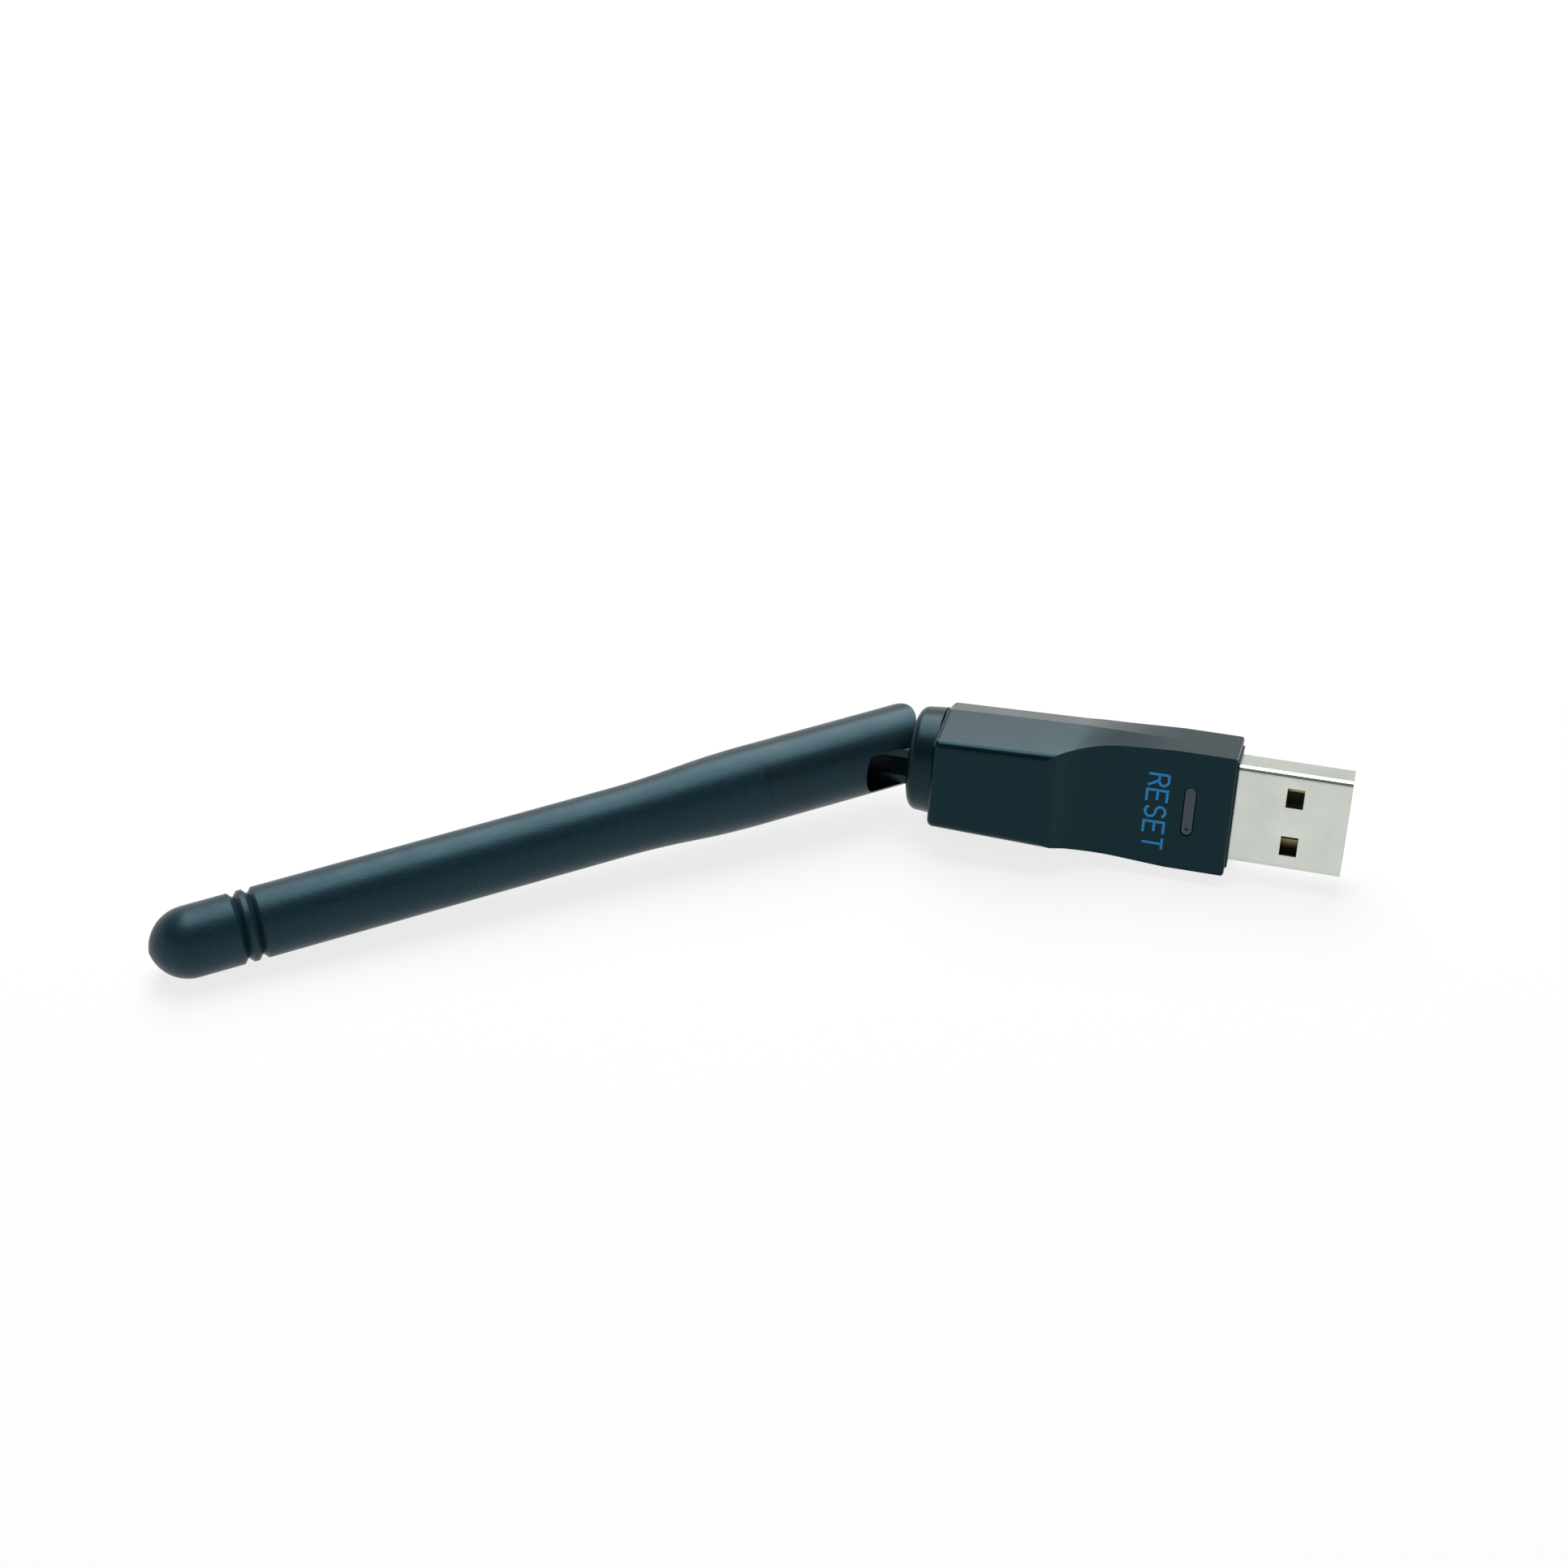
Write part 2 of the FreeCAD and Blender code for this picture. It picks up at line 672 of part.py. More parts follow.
def usb_contacts():
    """Four gilt contacts whose tails lie on the board."""
    length = S["plug_depth"] + S["contact_tail"] + S["plug_reach"] - S["contact_setback"]
    middle_back = (S["plug_depth"] + S["contact_tail"] - S["plug_reach"] + S["contact_setback"]) / 2
    for count, side in enumerate(CONTACT_SIDES, start=1):
        nodes.append(box(f"usb_contact_{count}", middle_back, side, board_top, length,
                         S["contact_width"], S["contact_thickness"]))


# Circuit board

def circuit_board():
    """Board with its components, which all stand on its top face."""
    nodes.append(box("circuit_board", S["plug_depth"] + S["board_length"] / 2, 0, board_bottom,
                     S["board_length"], board_half_width * 2, S["board_thickness"]))
    nodes.append(box("radio_chip", S["radio_chip_back"], 0, board_top, S["radio_chip_size"],
                     S["radio_chip_size"], S["radio_chip_height"]))
    nodes.append(box("main_crystal", S["main_crystal_back"],
                     -board_half_width + S["main_crystal_inset"] + S["main_crystal_width"] / 2, board_top,
                     S["main_crystal_length"], S["main_crystal_width"], S["main_crystal_height"]))
    nodes.append(box("clock_crystal", S["clock_crystal_back"], 0, board_top, S["clock_crystal_length"],
                     S["clock_crystal_width"], S["clock_crystal_height"]))
    nodes.append(box("voltage_regulator", S["regulator_back"],
                     -board_half_width + S["regulator_inset"] + S["regulator_width"] / 2, board_top,
                     S["regulator_length"], S["regulator_width"], S["regulator_height"]))
    nodes.append(box("indicator_lamp", S["button_back"],
                     board_half_width - S["indicator_inset"] - S["indicator_width"] / 2, board_top,
                     S["indicator_length"], S["indicator_width"], S["indicator_height"]))
    for count in range(4):
        back = S["capacitor_back"] - S["capacitor_pitch"] * count
        nodes.append(box(f"capacitor_{count + 1}", back,
                         board_half_width - S["capacitor_inset"] - S["capacitor_width"] / 2, board_top,
                         S["capacitor_length"], S["capacitor_width"], S["capacitor_height"]))


# Reset switch and button

def reset_switch():
    """Switch case with the well that its plunger slides in, and the plunger."""
    case = box("reset_switch_case", S["button_back"], 0, board_top, S["switch_length"],
               S["switch_width"], S["switch_height"])
    well = doc.addObject("Part::Cylinder", "reset_switch_well")
    bind(well, "Radius", S["plunger_radius"] + S["slide_gap"])
    bind(well, "Height", S["switch_height"])
    floor = board_top + S["switch_floor"]
    centre = Vector(-S["button_back"].value, 0, floor.value)
    well.Placement = Placement(centre, Rotation())
    switch = doc.addObject("Part::Cut", "reset_switch")
    switch.Base = case
    switch.Tool = well
    switch.Label = "reset_switch"
    nodes.append(switch)
    plunger = doc.addObject("Part::Cylinder", "switch_plunger")
    plunger.Label = "switch_plunger"
    bind(plunger, "Radius", S["plunger_radius"])
    gap = S["button_travel"] + S["slide_gap"]
    bind(plunger, "Height", lip_bottom - floor - gap)
    plunger.Placement = Placement(centre + Vector(0, 0, gap.value), Rotation())
    nodes.append(plunger)


def reset_button():
    """Slim bar that shows in the slot, on a lip that the housing keeps in."""
    body = new_body("reset_button")
    lip = new_sketch(body, "XY_Plane", offset=lip_bottom)
    draw_rectangle(lip, -S["button_back"] - S["button_lip_width"] / 2,
                   -S["button_back"] + S["button_lip_width"] / 2,
                   -S["button_lip_length"] / 2, S["button_lip_length"] / 2)
    pad(body, lip, S["button_lip_height"])
    bar_bottom = lip_bottom + S["button_lip_height"] / 2
    bar_top = S["plug_end_height"] / 2 - S["button_recess"]
    bar = new_sketch(body, "XY_Plane", offset=bar_bottom)
    draw_stadium(bar, -S["button_back"], S["button_width"] / 2, S["button_length"] / 2)
    pad(body, bar, bar_top - bar_bottom)
    dot = new_sketch(body, "XY_Plane", offset=bar_top)
    draw_circle(dot, (-S["button_back"], -S["button_dot_side"]), S["button_dot_radius"])
    pocket(body, dot, S["button_dot_depth"])


# Swivel knuckle, in the antenna's fold system turned back to the dongle's X axis

def swivel_knuckle():
    """Collar, shaft and flange turned about the swivel axis, with the hollow tongue of the fold."""
    face = S["tongue_reach"]
    body = turned("swivel_knuckle", [
        (flange_front, 0),
        (flange_front, S["flange_radius"]),
        (flange_back, S["flange_radius"]),
        (flange_back, S["swivel_shaft_radius"]),
        (collar_back, S["swivel_shaft_radius"]),
        (collar_back, S["collar_radius"]),
        (face + S["collar_dome"], S["collar_rim_radius"]),
        (face, S["collar_face_radius"],
         arc_radius(S["collar_dome"], S["collar_rim_radius"] - S["collar_face_radius"]), 1),
        (face, 0),
    ])
    stop_tab = new_sketch(body, "YZ_Plane", offset=flange_back)
    draw_rectangle(stop_tab, -S["stop_tab_width"] / 2, S["stop_tab_width"] / 2, S["flange_radius"] / 2,
                   S["flange_radius"] + S["stop_tab_reach"])
    pad(body, stop_tab, S["flange_thickness"])
    tongue = new_sketch(body, "XZ_Plane")
    radius = S["tongue_radius"]
    inside_collar = face + S["collar_dome"]
    draw(tongue, [(inside_collar, -radius), (inside_collar, radius), (0, radius),
                  (-radius, 0, radius, 1), (0, -radius, radius, 1)])
    pad(body, tongue, S["tongue_thickness"], symmetric=True)
    stubs = new_sketch(body, "XZ_Plane")
    draw_circle(stubs, (0, 0), S["stub_radius"])
    pad(body, stubs, S["tongue_thickness"] + S["stub_reach"] * 2, symmetric=True)
    channel = new_sketch(body, "XZ_Plane")
    draw_rectangle(channel, -radius * 2, S["channel_depth"], -radius * 2, radius * 2)
    pocket(body, channel, S["channel_width"], symmetric=True)
    hole = new_sketch(body, "YZ_Plane")
    draw_circle(hole, (0, 0), S["lead_hole_radius"])
    pocket(body, hole, flange_front * 2, symmetric=True)
    return body


# Antenna, in its own system

def antenna_fork():
    """Two ears about the tongue, the round root, and the spigot that the sleeve is pushed on."""
    radius = S["fork_radius"]
    body = turned("antenna_fork", [
        (-radius, 0), (-radius, radius), (S["fork_length"], radius),
        (S["fork_length"], S["spigot_radius"]), (spigot_end, S["spigot_radius"]),
        (spigot_end, S["choke_radius"] - S["choke_sheet"]),
        (spigot_end + S["nose_length"], S["choke_radius"] - S["choke_sheet"]),
        (spigot_end + S["nose_length"], 0),
    ][::-1])
    ear_end = new_sketch(body, "XZ_Plane")
    beyond = radius * 2
    draw(ear_end, [(0, beyond), (-beyond, beyond), (-beyond, -beyond), (0, -beyond), (0, -radius),
                   (-radius, 0, radius, -1), (0, radius, radius, -1)])
    pocket(body, ear_end, beyond * 2, symmetric=True)
    slot = new_sketch(body, "XY_Plane")
    bulge_radius = arc_radius(slot_half, S["slot_bulge"])
    draw(slot, [(-beyond, -slot_half), (S["slot_root"], -slot_half),
                (S["slot_root"], slot_half, bulge_radius, 1), (-beyond, slot_half)])
    pocket(body, slot, beyond * 2, symmetric=True)
    recess = new_sketch(body, "XZ_Plane")
    draw_circle(recess, (0, 0), S["stub_radius"] + S["stub_play"])
    pocket(body, recess, (slot_half + S["stub_reach"]) * 2, symmetric=True)
    bore = new_sketch(body, "YZ_Plane")
    draw_circle(bore, (0, 0), S["lead_hole_radius"])
    pocket(body, bore, (spigot_end + beyond) * 2, symmetric=True)
    return body


def antenna_sleeve():
    """Soft rod cover: it narrows from the fork, has two rings of groove and ends in a dome."""
    wide, slim = S["fork_radius"], S["sleeve_radius"]
    start = S["fork_length"]
    neck_start, neck_end = start + S["sleeve_band"], start + S["sleeve_band"] + S["neck_length"]
    half_run, half_drop = S["neck_length"] / 2, (wide - slim) / 2
    neck_radius = arc_radius(half_run, half_drop)
    tip, dome = S["antenna_length"], S["tip_dome"]
    outline = [(start, S["spigot_radius"]), (start, wide), (neck_start, wide),
               (neck_start + half_run, wide - half_drop, neck_radius, -1),
               (neck_end, slim, neck_radius, 1)]
    for setback in (S["groove_setback"] + S["groove_pitch"], S["groove_setback"]):
        middle = tip - setback
        outline += [(middle - S["groove_half_width"], slim), (middle, slim - S["groove_depth"]),
                    (middle + S["groove_half_width"], slim)]
    outline += [(tip - dome, slim), (tip, 0, arc_radius(dome, slim), -1), (tip - S["tip_wall"], 0),
                (tip - S["tip_wall"], S["sleeve_bore_radius"]), (spigot_end, S["sleeve_bore_radius"]),
                (spigot_end, S["spigot_radius"])]
    return turned("antenna_sleeve", outline)


def choke_tube():
    """Brass cup over the lead, with its open end on the fork's nose."""
    outer, inner = S["choke_radius"], S["choke_radius"] - S["choke_sheet"]
    cap = choke_end - S["choke_cap"]
    return turned("choke_tube", [
        (spigot_end, inner), (spigot_end, outer), (choke_end, outer), (choke_end, S["lead_radius"]),
        (cap, S["lead_radius"]), (cap, inner),
    ])


def radiator():
    """Straight wire that radiates, and the bead that centres it in the sleeve."""
    wire = doc.addObject("Part::Cylinder", "radiator_wire")
    wire.Label = "radiator_wire"
    bind(wire, "Radius", S["radiator_radius"])
    bind(wire, "Height", radiator_end - feed_end)
    wire.Placement = Placement(Vector(feed_end.value, 0, 0), Rotation(Vector(0, 1, 0), 90))
    nodes.append(wire)
    bead_end = radiator_end - S["bead_setback"]
    bead_start = bead_end - S["bead_thickness"]
    bead = turned("centring_bead", [
        (bead_start, S["radiator_radius"]), (bead_start, S["sleeve_bore_radius"]),
        (bead_end, S["sleeve_bore_radius"]), (bead_end, S["radiator_radius"]),
    ])
    return wire, bead


# Places of the folded pieces in the dongle's system
fold_point = Vector(-pivot_back.value, 0, -S["swivel_drop"].value)
knuckle_place = Placement(fold_point, Rotation(X_AXIS, S["swivel_angle"].value))
fold_turn = Rotation(Vector(0, 1, 0), 180 + S["fold_angle"].value)
antenna_place = knuckle_place.multiply(Placement(ORIGIN, fold_turn))


def rounded_route(points, radius):
    """Straight runs through the points, joined by tangent arcs."""
    edges = []
    start = points[0]
    for before, corner, after in zip(points, points[1:], points[2:]):
        toward_before = (before - corner).normalize()
        toward_after = (after - corner).normalize()
        half_turn = (math.pi - toward_before.getAngle(toward_after)) / 2
        reach = radius * math.tan(half_turn)
        arc_start = corner + toward_before * reach
        arc_stop = corner + toward_after * reach
        inward = (toward_before + toward_after).normalize()
        arc_middle = corner + inward * (radius / math.cos(half_turn) - radius)
        edges.append(Part.LineSegment(start, arc_start).toShape())
        edges.append(Part.Arc(arc_start, arc_middle, arc_stop).toShape())
        start = arc_stop
    edges.append(Part.LineSegment(start, points[-1]).toShape())
    return Part.Wire(edges)


def antenna_lead():
    """Coaxial lead from the board through the swivel and round the fold to the radiator."""
    on_board = board_top.value + S["lead_radius"].value
    axis_height = -S["swivel_drop"].value
    route = rounded_route([
        Vector(-S["lead_start"].value, 0, on_board),
        Vector(-S["lead_slope_start"].value, 0, on_board),
        Vector(-S["lead_slope_end"].value, 0, axis_height),
        fold_point,
        antenna_place.multVec(Vector(feed_end.value, 0, 0)),
    ], S["lead_bend_radius"].value)
    first = route.Edges[0]
    section = Part.Wire([Part.Circle(first.valueAt(first.FirstParameter), X_AXIS,
                                     S["lead_radius"].value).toShape()])
    tube = doc.addObject("Part::Feature", "antenna_lead")
    tube.Label = "antenna_lead"
    tube.Shape = route.makePipeShell([section], True, False)
    expected = math.pi * S["lead_radius"].value ** 2 * route.Length
    if abs(tube.Shape.Volume / expected - 1) > 0.01:
        raise RuntimeError("the lead's volume is not its section times its length")
    nodes.append(tube)
    return tube


def resting_roll():
    """Turn about X that lays the dongle on the long edge below and on the antenna's tip.

    Both touch one plane whose normal lies across the dongle. The edge is the lower housing's
    corner at the plug end, and the tip is taken as a ball.
    """
    tip_centre = antenna_place.multVec(Vector(S["antenna_length"].value - S["tip_dome"].value, 0, 0))
    across = S["housing_width"].value / 2 + tip_centre.y
    depth = S["plug_end_height"].value / 2 + tip_centre.z
    ball = S["sleeve_radius"].value
    lean = math.atan2(depth, across) - math.acos(ball / math.hypot(across, depth))
    return 90 - math.degrees(lean)


upper_housing()
lower_housing()
usb_shell()
usb_insulator()
usb_contacts()
circuit_board()
reset_switch()
reset_button()
swivel_knuckle().Placement = knuckle_place
antenna_fork().Placement = antenna_place
antenna_sleeve().Placement = antenna_place
choke_tube().Placement = antenna_place
for piece in radiator():
    piece.Placement = antenna_place.multiply(piece.Placement)
antenna_lead()
doc.recompute()

# Lay the dongle down, with the origin under its middle on the table
laid = Placement(ORIGIN, Rotation(X_AXIS, resting_roll()))
for node in nodes:
    node.Placement = laid.multiply(node.Placement)
doc.recompute()
whole = Part.makeCompound([node.Shape for node in nodes]).optimalBoundingBox(False, False)
seat = Placement(Vector(-whole.Center.x, -whole.Center.y, -whole.ZMin), Rotation())
for node in nodes:
    node.Placement = seat.multiply(node.Placement)
doc.recompute()
frame_place = seat.multiply(laid)

for item in doc.Objects:
    if "Invalid" in item.State or "Error" in item.State:
        raise RuntimeError(f"{item.Name} failed: {item.State}")
os.makedirs("parts", exist_ok=True)
for node in nodes:
    if node.Shape.isNull() or not node.Shape.isValid() or not node.Shape.Solids:
        raise RuntimeError(f"{node.Label} has no valid solid")
    node.Shape.exportStep(f"parts/{node.Label}.step")
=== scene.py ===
# Looks of a USB radio dongle with a folding antenna: camera, finishes, printed word, lead and light.
# All lengths are in metres. The dongle's own system has its origin in the middle of the housing's
# plug end, X out along the plug, Y across the width and Z out of the face with the reset button.
import json
import math

import bpy
from mathutils import Matrix, Vector


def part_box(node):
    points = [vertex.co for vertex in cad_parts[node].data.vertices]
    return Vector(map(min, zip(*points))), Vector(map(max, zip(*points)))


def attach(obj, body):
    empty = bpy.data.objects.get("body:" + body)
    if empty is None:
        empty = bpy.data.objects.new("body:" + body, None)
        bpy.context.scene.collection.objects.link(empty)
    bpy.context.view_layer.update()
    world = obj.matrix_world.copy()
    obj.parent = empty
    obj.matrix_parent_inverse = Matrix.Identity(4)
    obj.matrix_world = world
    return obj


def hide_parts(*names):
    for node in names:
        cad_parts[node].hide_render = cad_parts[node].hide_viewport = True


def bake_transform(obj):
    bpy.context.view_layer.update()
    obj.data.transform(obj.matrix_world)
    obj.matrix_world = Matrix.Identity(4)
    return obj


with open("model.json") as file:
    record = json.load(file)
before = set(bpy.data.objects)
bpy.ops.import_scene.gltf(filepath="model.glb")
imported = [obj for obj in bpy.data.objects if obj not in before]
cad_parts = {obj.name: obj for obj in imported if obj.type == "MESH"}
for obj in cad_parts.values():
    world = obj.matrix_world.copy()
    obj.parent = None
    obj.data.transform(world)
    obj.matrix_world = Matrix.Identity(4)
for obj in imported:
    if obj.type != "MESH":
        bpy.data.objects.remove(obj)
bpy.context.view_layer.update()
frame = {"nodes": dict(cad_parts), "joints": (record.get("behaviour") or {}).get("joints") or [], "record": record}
record = frame["record"]
nodes = frame["nodes"]
joints = {joint["name"]: joint for joint in frame["joints"]}

MM = 0.001

# The dongle's own system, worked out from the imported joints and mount
PLUG_REACH = 13.1 * MM
along = Vector(joints["antenna_swivel"]["axis"]).normalized()
outward = -Vector(joints["reset_press"]["axis"]).normalized()
across = outward.cross(along)
plug_mouth = Vector(record["mounts"][0]["pos_m"])
origin = plug_mouth - along * PLUG_REACH
fold_point = Vector(joints["antenna_fold"]["pos_m"])
fold_axis = Vector(joints["antenna_fold"]["axis"]).normalized()
rod = ((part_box("radiator_wire")[0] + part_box("radiator_wire")[1]) / 2 - fold_point).normalized()


def in_frame(x, y, z):
    """Place in the row frame of a place in the dongle's own system."""
    return origin + along * x + across * y + outward * z


# Camera, from a fit to the photograph
IMAGE_SIDE = 1932
FOCAL_PIXELS = 3200
CAMERA_PLACE = in_frame(15.71 * MM, 118.82 * MM, 282.69 * MM)
CAMERA_AIM = in_frame(-49.02 * MM, 2.91 * MM, 20.40 * MM)
SENSOR = 36.0

camera_data = bpy.data.cameras.new("camera")
camera_data.sensor_width = SENSOR
camera_data.lens = SENSOR * FOCAL_PIXELS / IMAGE_SIDE
camera_data.clip_start = 0.01
camera_data.clip_end = 20
camera = bpy.data.objects.new("camera", camera_data)
camera.location = CAMERA_PLACE
camera.rotation_mode = "QUATERNION"
camera.rotation_quaternion = (CAMERA_AIM - CAMERA_PLACE).to_track_quat("-Z", "Y")
bpy.context.scene.collection.objects.link(camera)
bpy.context.scene.camera = camera


# Materials. A mix node's colour sockets have the same names as its others, so they go by number.
MIX_FIRST = 6
MIX_SECOND = 7
MIX_RESULT = 2


class Nodes:
    """Small helper that adds shader nodes to a new material and links them."""

    def __init__(self, name):
        self.material = bpy.data.materials.new(name)
        self.material.use_nodes = True
        self.tree = self.material.node_tree
        self.shader = self.tree.nodes["Principled BSDF"]
        self.output = self.tree.nodes["Material Output"]
        self.place = self.add("ShaderNodeTexCoord").outputs["Object"]

    def add(self, kind, **inputs):
        """Adds a node and sets its inputs by name, with spaces written as underscores."""
        node = self.tree.nodes.new(kind)
        for name, value in inputs.items():
            self.put(node.inputs[name.replace("_", " ")], value)
        return node

    def put(self, socket, value):
        """Sets a socket to a value, or links another node's socket to it."""
        if isinstance(value, bpy.types.NodeSocket):
            self.tree.links.new(value, socket)
        else:
            socket.default_value = value

    def noise(self, size, detail=2.0, stretch=None):
        """Noise between 0 and 1 whose blotches have about the given size."""
        place = self.place
        if stretch is not None:
            mapping = self.add("ShaderNodeMapping", Vector=place, Scale=stretch)
            place = mapping.outputs["Vector"]
        return self.add("ShaderNodeTexNoise", Vector=place, Scale=1 / size, Detail=detail).outputs["Fac"]

    def ranged(self, value, low, high, from_low=0.3, from_high=0.7):
        """A value spread over another range."""
        node = self.add("ShaderNodeMapRange", Value=value)
        node.inputs["From Min"].default_value = from_low
        node.inputs["From Max"].default_value = from_high
        node.inputs["To Min"].default_value = low
        node.inputs["To Max"].default_value = high
        return node.outputs["Result"]

    def blend_colours(self, factor, first, second):
        """Colour between two others."""
        node = self.tree.nodes.new("ShaderNodeMix")
        node.data_type = "RGBA"
        self.put(node.inputs["Factor"], factor)
        for socket, colour in ((MIX_FIRST, first), (MIX_SECOND, second)):
            if not isinstance(colour, bpy.types.NodeSocket):
                colour = (*colour, 1)
            self.put(node.inputs[socket], colour)
        return node.outputs[MIX_RESULT]

    def calculated(self, operation, first, second=0.0):
        """Result of one arithmetic operation."""
        node = self.tree.nodes.new("ShaderNodeMath")
        node.operation = operation
        self.put(node.inputs[0], first)
        self.put(node.inputs[1], second)
        return node.outputs[0]

    def band(self, direction, middle, half_width):
        """1 near the plane through a place and across a direction, and 0 elsewhere."""
        node = self.tree.nodes.new("ShaderNodeVectorMath")
        node.operation = "DOT_PRODUCT"
        self.put(node.inputs[0], self.place)
        node.inputs[1].default_value = direction
        past = self.calculated("SUBTRACT", node.outputs["Value"], middle.dot(direction))
        return self.ranged(self.calculated("ABSOLUTE", past), 1, 0, half_width - BAND_EDGE, half_width)

    def bump(self, height, depth):
        """Normal of a surface with a relief of the given depth."""
        return self.add("ShaderNodeBump", Height=height, Distance=depth).outputs["Normal"]

    def finish(self, **inputs):
        """Sets the shader's inputs and gives the material."""
        for name, value in inputs.items():
            self.put(self.shader.inputs[name.replace("_", " ")], value)
        return self.material


# Finishes. A sheen is the tint of what a surface mirrors.
TEAL_SHEEN = (0.42, 0.82, 1.0)
HOUSING_SHEEN = (0.35, 0.82, 0.98)
SLEEVE_START = 15.4 * MM
BAND_EDGE = 0.04 * MM
SMOOTHEST = 0.9
ROUGHEST = 1.12
METAL_BLOTCH = 4 * MM
METAL_SPREAD = 0.05
INK_COLOUR = (0.012, 0.29, 0.70)
INK_GRAIN = 0.12 * MM
INK_SPREAD = 0.14
INK_RELIEF = 0.004 * MM
INK_ROUGHNESS = (0.42, 0.6)
INK_GLOSS = 0.4
# Dark colour of the seam lines; the same colour is painted shade inside the collar's channel
SEAM_AND_PAINTED_SHADE = (0.001, 0.002, 0.003)
HOUSING_SEAM = (outward, origin, 0.07 * MM)
SLEEVE_SEAM = (rod, fold_point + rod * SLEEVE_START, 0.12 * MM)
# Size of the painted shade inside the channel through the collar's tongue
SHADED_CHANNEL_HALF_WIDTH = 1.40 * MM
SHADED_CHANNEL_REACH = 4.85 * MM

# Finished materials of the nodes, by their given names
materials = {}


def tones(colour, spread):
    """A darker and a lighter tone of a colour."""
    return [c * (1 - spread) for c in colour], [min(c * (1 + spread), 1) for c in colour]


def moulded_plastic(name, colour, roughness, grain, relief, gloss, spread=0.12, mottle=3 * MM,
                    sheen=(1, 1, 1), seam=None, painted_channel_shade=False):
    """Adds moulded plastic: fine grain from the mould, with slow changes of tone and gloss.

    A seam is a thin dark line where the surface meets a plane. The channel through the collar's
    tongue gets painted shade: a dark colour stands in for the shade inside it, and its face is made rough.
    """
    m = Nodes(name)
    slow = m.noise(mottle)
    fine = m.noise(grain, detail=3.0)
    dark, light = tones(colour, spread)
    colour_socket = m.blend_colours(m.ranged(fine, 0, 1), dark, light)
    if seam is not None:
        colour_socket = m.blend_colours(m.band(*seam), colour_socket, SEAM_AND_PAINTED_SHADE)
    roughness_socket = m.ranged(slow, roughness * SMOOTHEST, roughness * ROUGHEST)
    # Painted shade: the channel through the collar's tongue is darkened to stand in for the shade inside it, and
    # made rough
    if painted_channel_shade:
        channel_shade_mask = m.calculated("MULTIPLY", m.band(fold_axis, fold_point, SHADED_CHANNEL_HALF_WIDTH),
                              m.band(along, fold_point, SHADED_CHANNEL_REACH))
        colour_socket = m.blend_colours(channel_shade_mask, colour_socket, SEAM_AND_PAINTED_SHADE)
        roughness_socket = m.calculated("MAXIMUM", roughness_socket, channel_shade_mask)
    materials[name] = m.finish(Base_Color=colour_socket, Roughness=roughness_socket,
                               Specular_IOR_Level=gloss, Specular_Tint=(*sheen, 1),
                               Normal=m.bump(fine, relief))


def plated_metal(name, colour, roughness, grain, relief, stretch):
    """Adds plated sheet with fine rolling lines and soft changes of gloss."""
    m = Nodes(name)
    lines = m.noise(grain, stretch=stretch)
    slow = m.noise(METAL_BLOTCH)
    dark, light = tones(colour, METAL_SPREAD)
    materials[name] = m.finish(
        Base_Color=m.blend_colours(m.ranged(slow, 0, 1), dark, light), Metallic=1.0,
        Roughness=m.ranged(lines, roughness * SMOOTHEST, roughness * ROUGHEST),
        Normal=m.bump(lines, relief))


def printed_ink(name, colour):
    """Pad-printed ink with slightly uneven cover."""
    m = Nodes(name)
    cover = m.noise(INK_GRAIN, detail=3.0)
    dark, light = tones(colour, INK_SPREAD)
    return m.finish(Base_Color=m.blend_colours(m.ranged(cover, 0, 1), dark, light),
                    Roughness=m.ranged(cover, *INK_ROUGHNESS), Specular_IOR_Level=INK_GLOSS,
                    Normal=m.bump(cover, INK_RELIEF))


moulded_plastic("housing_plastic", (0.0015, 0.010, 0.014), roughness=0.22, grain=0.16 * MM,
                relief=0.0035 * MM, gloss=0.31, spread=0.15, sheen=HOUSING_SHEEN, seam=HOUSING_SEAM)
moulded_plastic("hinge_plastic", (0.005, 0.016, 0.022), roughness=0.35, grain=0.18 * MM,
                relief=0.008 * MM, gloss=0.42, spread=0.2, sheen=TEAL_SHEEN)
# The collar's plastic carries painted shade in the channel through its tongue
moulded_plastic("collar_plastic", (0.0015, 0.009, 0.012), roughness=0.32, grain=0.18 * MM,
                relief=0.006 * MM, gloss=0.34, spread=0.2, sheen=TEAL_SHEEN, painted_channel_shade=True)
moulded_plastic("antenna_rubber", (0.007, 0.024, 0.033), roughness=0.38, grain=0.24 * MM,
                relief=0.018 * MM, gloss=0.40, spread=0.3, sheen=TEAL_SHEEN, seam=SLEEVE_SEAM)
moulded_plastic("button_plastic", (0.060, 0.085, 0.105), roughness=0.45, grain=0.14 * MM,
                relief=0.003 * MM, gloss=0.4)
plated_metal("plug_steel", (0.60, 0.64, 0.58), roughness=0.22, grain=0.25 * MM,
             relief=0.0002 * MM, stretch=(1, 8, 1))
moulded_plastic("plug_plastic", (0.035, 0.045, 0.024), roughness=0.5, grain=0.2 * MM,
                relief=0.002 * MM, gloss=0.3)
plated_metal("contact_gilt", (0.34, 0.29, 0.13), roughness=0.32, grain=0.2 * MM,
             relief=0.0006 * MM, stretch=(1, 6, 1))
moulded_plastic("board_laminate", (0.01, 0.10, 0.04), roughness=0.35, grain=0.3 * MM,
                relief=0.004 * MM, gloss=0.5)
moulded_plastic("chip_resin", (0.02, 0.02, 0.022), roughness=0.55, grain=0.1 * MM,
                relief=0.003 * MM, gloss=0.4)
plated_metal("crystal_can", (0.6, 0.6, 0.58), roughness=0.3, grain=0.2 * MM,
             relief=0.001 * MM, stretch=(6, 1, 1))
